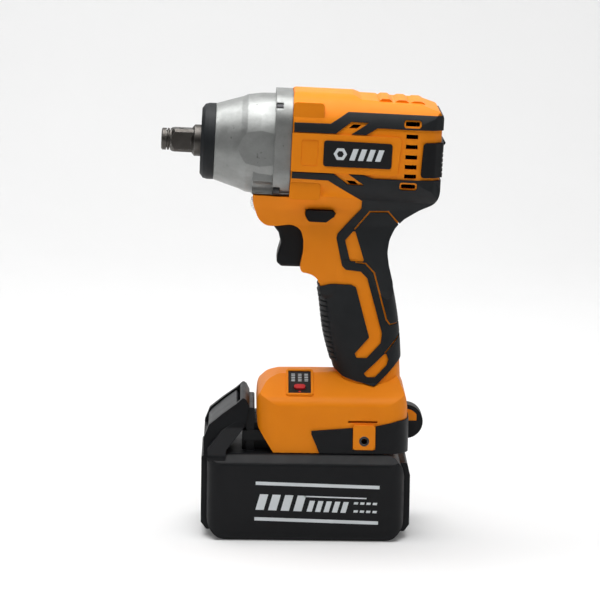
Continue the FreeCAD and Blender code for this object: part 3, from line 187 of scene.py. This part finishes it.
def cast_metal():
    """A tumbled die casting: soft lumps, fine pores and a few dark pits."""
    s = Shader("cast_case")
    s.set(Metallic=0.75)
    colour = s.ramp(s.noise(55, 8, 0.7), 0.32, 0.68, (0.24, 0.247, 0.24), (0.33, 0.337, 0.33))
    pits = s.levels(s.noise(360, 2), 0.70, 0.78, 0.0, 0.8)
    mix = s.add("ShaderNodeMix", data_type="RGBA")
    s.link(pits, mix.inputs["Factor"])
    s.link(colour, mix.inputs["A"])
    mix.inputs["B"].default_value = (0.12, 0.12, 0.12, 1)
    worn = s.edge_wear(mix.outputs["Result"], (0.50, 0.51, 0.50), 0.0007, 0.6)
    s.link(worn, s.bsdf.inputs["Base Color"])
    s.link(s.levels(s.noise(210, 6), 0.3, 0.7, 0.40, 0.58), s.bsdf.inputs["Roughness"])
    s.round_edges(0.0008)
    s.bump(s.noise(95, 4), 0.35, 0.0006)
    s.bump(s.noise(800, 4, 0.7), 0.5, 0.00012)
    LOOKS["cast_case"] = s


def lens():
    """Clear moulded plastic with a fine prism pattern."""
    s = Shader("clear_lens")
    s.set(Transmission_Weight=0.9, IOR=1.49)
    colour = s.ramp(s.noise(60), 0.3, 0.7, (0.86, 0.88, 0.90), (0.95, 0.96, 0.97))
    s.link(colour, s.bsdf.inputs["Base Color"])
    s.link(s.levels(s.noise(300), 0.3, 0.7, 0.05, 0.14), s.bsdf.inputs["Roughness"])
    s.bump(s.cells(900), 0.25, 0.0001)
    LOOKS["clear_lens"] = s


def make_looks():
    plastic("orange_plastic", (0.88, 0.245, 0.005), (0.92, 0.270, 0.007), roughness=0.48, grain=0.30,
            gloss=0.15)
    plastic("overmould", (0.0075, 0.0092, 0.0110), (0.0100, 0.0122, 0.0142), roughness=0.60, grain=0.6,
            edge=0.0006, grain_scale=1700, gloss=0.28)
    plastic("black_plastic", (0.0048, 0.0052, 0.0064), (0.0066, 0.0072, 0.0086), roughness=0.46, grain=0.5,
            edge=0.0005, gloss=0.20)
    plastic("label", (0.0070, 0.0072, 0.0078), (0.0095, 0.0100, 0.0108), roughness=0.40, grain=0.12,
            gloss=0.25)
    plastic("latch_plastic", (0.026, 0.028, 0.030), (0.035, 0.038, 0.040), roughness=0.5, grain=0.4)
    plastic("red_button", (0.50, 0.012, 0.018), (0.62, 0.02, 0.025), roughness=0.32, grain=0.1)
    plastic("mark", (0.66, 0.70, 0.72), (0.74, 0.78, 0.80), roughness=0.5, grain=0.15, edge=0.00005)
    plastic("board", (0.01, 0.07, 0.03), (0.015, 0.10, 0.045), roughness=0.35, grain=0.2)
    plastic("cell_wrap", (0.03, 0.14, 0.22), (0.04, 0.18, 0.28), roughness=0.3, grain=0.1)
    cast_metal()
    metal("drive_steel", (0.055, 0.050, 0.045), (0.11, 0.102, 0.095), roughness=0.40, grain=0.35,
          wear=(0.50, 0.49, 0.47))
    metal("hard_steel", (0.33, 0.33, 0.34), (0.45, 0.45, 0.46), roughness=0.32, grain=0.25)
    metal("screw_steel", (0.03, 0.03, 0.032), (0.07, 0.07, 0.072), roughness=0.42, grain=0.3,
          wear=(0.3, 0.3, 0.3))
    metal("bronze", (0.36, 0.25, 0.11), (0.50, 0.36, 0.17), roughness=0.42, grain=0.4)
    metal("copper", (0.45, 0.16, 0.06), (0.62, 0.25, 0.10), roughness=0.32, grain=0.5, stretch=(1, 8, 8))
    metal("magnet", (0.5, 0.5, 0.5), (0.6, 0.6, 0.6), roughness=0.18, grain=0.1)
    metal("lamination", (0.10, 0.105, 0.11), (0.18, 0.185, 0.19), roughness=0.45, grain=0.8,
          stretch=(12, 1, 1))
    lens()


def paint(obj, look):
    obj.data.materials.clear()
    obj.data.materials.append(LOOKS[look].material)


# The stage

FLOOR_REACH = 6.0  # how far the floor runs forward and to each side
CURVE_START, CURVE_RADIUS, CURVE_STEPS = 0.9, 0.5, 12
WALL_HEIGHT = 3.0


def make_floor():
    """A pale floor that curves up into a backdrop behind the object."""
    profile = [(-FLOOR_REACH, 0.0), (CURVE_START, 0.0)]
    for i in range(1, CURVE_STEPS + 1):
        angle = math.radians(90 * i / CURVE_STEPS)
        profile.append((CURVE_START + CURVE_RADIUS * math.sin(angle), CURVE_RADIUS * (1 - math.cos(angle))))
    profile.append((CURVE_START + CURVE_RADIUS, WALL_HEIGHT))
    bm = bmesh.new()
    rows = [[bm.verts.new((x, y, z)) for x in (-FLOOR_REACH, FLOOR_REACH)] for y, z in profile]
    for near, far in zip(rows, rows[1:]):
        bm.faces.new((near[0], near[1], far[1], far[0]))
    mesh = bpy.data.meshes.new("floor")
    bm.to_mesh(mesh)
    bm.free()
    mesh.shade_smooth()
    floor = bpy.data.objects.new("floor", mesh)
    scene.collection.objects.link(floor)
    look = Shader("floor")
    colour = look.ramp(look.noise(3), 0.3, 0.7, (0.70, 0.70, 0.70), (0.72, 0.72, 0.72))
    look.link(colour, look.bsdf.inputs["Base Color"])
    look.set(Roughness=0.9, Emission_Color=(1, 1, 1, 1), Emission_Strength=0.10)
    floor.data.materials.append(look.material)


def area_light(name, place, target, size, power):
    light = bpy.data.lights.new(name, "AREA")
    light.shape = "RECTANGLE"
    light.size, light.size_y = size
    light.energy = power
    obj = bpy.data.objects.new(name, light)
    obj.location = place
    obj.rotation_euler = (Vector(target) - Vector(place)).to_track_quat("-Z", "Y").to_euler()
    scene.collection.objects.link(obj)


def make_lights():
    world = bpy.data.worlds.new("studio")
    world.use_nodes = True
    background = world.node_tree.nodes["Background"]
    background.inputs["Color"].default_value = (1.0, 1.0, 1.0, 1)
    background.inputs["Strength"].default_value = 0.03
    scene.world = world
    area_light("overhead", (-0.1, -0.1, 1.5), (0, 0, 0.1), size=(1.6, 1.2), power=31.0)
    area_light("front", (-0.4, -1.8, 1.5), (0, 0, 0.20), size=(1.0, 0.8), power=3.0)
    area_light("backdrop_light", (0.0, 0.4, 1.9), (0, 1.3, 0.3), size=(2.4, 0.5), power=12.0)


# The camera looks down a little, from the tool's left side

ELEVATION, YAW, ROLL = math.radians(9.5), math.radians(1.0), math.radians(0.9)
CAMERA_DISTANCE = 1.8917
FOCAL_LENGTH, SENSOR_WIDTH = 200.0, 36.0  # millimetres
CENTRE_RIGHT, CENTRE_UP = -0.0025, 0.1281  # the picture's centre, measured from the origin


def make_camera():
    level = math.cos(ELEVATION)
    forward = Vector((math.sin(YAW) * level, math.cos(YAW) * level, -math.sin(ELEVATION)))
    right = Vector((math.cos(YAW), -math.sin(YAW), 0))
    up = right.cross(forward)
    image_right = right * math.cos(ROLL) + up * math.sin(ROLL)
    image_up = up * math.cos(ROLL) - right * math.sin(ROLL)
    data = bpy.data.cameras.new("camera")
    data.lens, data.sensor_width = FOCAL_LENGTH, SENSOR_WIDTH
    data.clip_start, data.clip_end = 0.05, 60
    camera = bpy.data.objects.new("camera", data)
    turn = Matrix((image_right, image_up, -forward)).transposed().to_4x4()
    place = image_right * CENTRE_RIGHT + image_up * CENTRE_UP - forward * CAMERA_DISTANCE
    camera.matrix_world = Matrix.Translation(place) @ turn
    scene.collection.objects.link(camera)
    scene.camera = camera


# Printed marks: thin raised shapes on the label plates, the battery's sides and the gauge

INK = 0.06 * MM  # half the thickness of a print, whose other half is under the surface


def new_object(name, bm, body, look):
    mesh = bpy.data.meshes.new(name)
    bmesh.ops.recalc_face_normals(bm, faces=bm.faces[:])
    bm.to_mesh(mesh)
    bm.free()
    obj = bpy.data.objects.new(name, mesh)
    scene.collection.objects.link(obj)
    paint(obj, look)
    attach(obj, body)
    return obj


def add_print(bm, outline, hole, place):
    """One printed shape, from (right, up) points in metres. A hole has as many points as the outline."""
    front = [bm.verts.new(place(x, y, INK)) for x, y in outline]
    back = [bm.verts.new(place(x, y, -INK)) for x, y in outline]
    count = len(outline)
    for i in range(count):
        j = (i + 1) % count
        bm.faces.new((front[i], front[j], back[j], back[i]))
    if not hole:
        bm.faces.new(front)
        return
    inner = [bm.verts.new(place(x, y, INK)) for x, y in hole]
    inner_back = [bm.verts.new(place(x, y, -INK)) for x, y in hole]
    for i in range(count):
        j = (i + 1) % count
        bm.faces.new((front[i], front[j], inner[j], inner[i]))
        bm.faces.new((inner[i], inner[j], inner_back[j], inner_back[i]))


def bar(x, y, width, height, slant=0.0):
    """A bar from its lower left corner, whose top leans to the right by slant."""
    return [(x, y), (x + width, y), (x + width + slant, y + height), (x + slant, y + height)]


def ring_points(x, y, radius, count, turn=0.0):
    angles = [turn + 2 * math.pi * i / count for i in range(count)]
    return [(x + radius * math.cos(t), y + radius * math.sin(t)) for t in angles]


def printed(name, shapes, place, body, look="mark"):
    """One piece from many shapes. A shape is an outline, or an outline and a hole."""
    bm = bmesh.new()
    for shape in shapes:
        outline, hole = shape if isinstance(shape, tuple) else (shape, None)
        add_print(bm, outline, hole, place)
    new_object(name, bm, body, look)


def joint(name):
    return next(j for j in frame["record"]["behaviour"]["joints"] if j["name"] == name)


def joint_axis(name):
    return Vector(joint(name)["axis"]).normalized()


def side_place(centre, along, side):
    """Maps right and up on a side face to the row frame. side is -1 on the tool's left and 1 on its right."""
    right = along * -side
    up = Vector((0, 1, 0)).cross(along) * -1
    return lambda x, y, out: centre + right * x + up * y + Vector((0, side * out, 0))


def label_marks():
    """A nut and four leaning bars on each label plate."""
    low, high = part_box("labels")
    along = -joint_axis("anvil_spin")
    nut_x, nut_radius, hole_radius = -9.6 * MM, 3.7 * MM, 1.9 * MM
    bars_x, tall, lean, wide, step = -4.6 * MM, 6.4 * MM, 2.0 * MM, 2.9 * MM, 4.7 * MM
    shapes = [(ring_points(nut_x, 0, nut_radius, 6), ring_points(nut_x, 0, hole_radius, 6))]
    for i in range(4):
        shapes.append(bar(bars_x + step * i, -tall / 2, wide, tall, lean))
    for side, name in LEFT_AND_RIGHT:
        centre = Vector(((low.x + high.x) / 2, side * high.y, (low.z + high.z) / 2))
        printed(f"label_mark_{name}", shapes, side_place(centre, along, side), "tool")


def mm_bar(*values):
    return bar(*(v * MM for v in values))


PRINT_TILT = math.radians(1.4)
PRINT_X, PRINT_Z = 6.0 * MM, 21.7 * MM  # the middle of the battery's print


def battery_marks():
    """Two long lines on each side of the battery, with leaning bars and short dashes between them."""
    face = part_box("battery_case")[1].y
    tilted = Vector((math.cos(PRINT_TILT), 0, -math.sin(PRINT_TILT)))
    half, thick = 34.4, 1.9
    shapes = [mm_bar(-half, up, 2 * half, thick) for up in (9.3, -10.9)]
    shapes.append(mm_bar(-7.2, 3.4, 34.6, 0.7))
    shapes += [mm_bar(-34.0 + 7.0 * i, -4.8, 4.6, 8.9, 2.2) for i in range(4)]
    shapes += [mm_bar(-5.6 + 4.7 * i, -4.8, 2.9, 6.2, 1.6) for i in range(5)]
    shapes += [mm_bar(20.4 + 3.5 * i, row, 2.3, 1.3, 0.3) for row in (0.2, -4.4) for i in range(4)]
    for side, name in LEFT_AND_RIGHT:
        centre = Vector((PRINT_X, side * face, PRINT_Z))
        printed(f"battery_mark_{name}", shapes, side_place(centre, tilted, side), "battery")


def gauge_marks():
    """Columns of ticks above the button and a small mark below it."""
    low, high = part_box("gauge_panel")
    out = -joint_axis("gauge_press")
    up = out.cross(Vector((1, 0, 0))) * -1
    if up.z < 0:
        up = -up
    panel_face = 0.85 * MM  # from the panel's middle to its surface
    centre = (low + high) / 2 + out * panel_face

    def place(x, y, height):
        return centre + Vector((x, 0, 0)) + up * y + out * height

    ticks = [mm_bar(x, 1.0 + 1.45 * i, 2.0, 0.55) for x in (-4.6, -0.9, 2.7) for i in range(5)]
    printed("gauge_ticks", ticks, place, "tool")
    printed("gauge_dot", [ring_points(0, -8.1 * MM, 0.7 * MM, 12)], place, "tool", "red_button")


# Springs, wound from round wire in place of their nodes

STEPS_PER_TURN, WIRE_SIDES = 28, 10


def circle_steps(count):
    return [2 * math.pi * k / count for k in range(count)]


def add_helix(bm, start, direction, length, radius, wire, turns):
    """A round wire of radius wire, wound about a straight line, with closed ends."""
    side = direction.orthogonal().normalized()
    other = direction.cross(side)
    steps = int(turns * STEPS_PER_TURN)
    rings = []
    for i in range(steps + 1):
        angle = 2 * math.pi * turns * i / steps
        out = side * math.cos(angle) + other * math.sin(angle)
        middle = start + direction * (wire + (length - 2 * wire) * i / steps) + out * radius
        rings.append([bm.verts.new(middle + out * wire * math.cos(t) + direction * wire * math.sin(t))
                      for t in circle_steps(WIRE_SIDES)])
    for near, far in zip(rings, rings[1:]):
        for k in range(WIRE_SIDES):
            m = (k + 1) % WIRE_SIDES
            bm.faces.new((near[k], near[m], far[m], far[k])).smooth = True
    bm.faces.new(rings[0])
    bm.faces.new(rings[-1])


def spring(node, body, direction, starts, length, outside, wire, turns):
    """One piece that takes the node's place, with one helix at each start."""
    bm = bmesh.new()
    for start in starts:
        add_helix(bm, start, direction, length, outside - wire, wire, turns)
    obj = new_object(f"{node}_wire", bm, body, "hard_steel")
    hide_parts(node)
    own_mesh(obj)


def make_springs():
    low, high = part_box("hammer_spring")
    axis = -joint_axis("anvil_spin")
    outside = (high.y - low.y) / 2
    length = (high.x - low.x - 2 * outside * abs(axis.z)) / abs(axis.x)
    start = (low + high) / 2 - axis * length / 2
    spring("hammer_spring", "spindle", axis, [start], length, outside, wire=1.5 * MM, turns=3)

    low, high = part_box("trigger_spring")
    outside, length = (high.y - low.y) / 2, high.x - low.x
    start = Vector((low.x, 0, (low.z + high.z) / 2))
    spring("trigger_spring", "tool", Vector((1, 0, 0)), [start], length, outside,
           wire=0.45 * MM, turns=6)

    low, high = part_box("latch_springs")
    outside, length = (high.x - low.x) / 2, high.z - low.z
    middle = (low.x + high.x) / 2
    starts = [Vector((middle, y, low.z)) for y in (low.y + outside, high.y - outside)]
    spring("latch_springs", "battery", Vector((0, 0, 1)), starts, length, outside,
           wire=0.35 * MM, turns=5)


make_looks()
make_floor()
make_lights()
make_camera()
for entry in frame["record"]["subparts"]:
    paint(nodes[entry["node"]], entry["material_slot"])
label_marks()
battery_marks()
gauge_marks()
make_springs()
scene.view_settings.view_transform = "Standard"
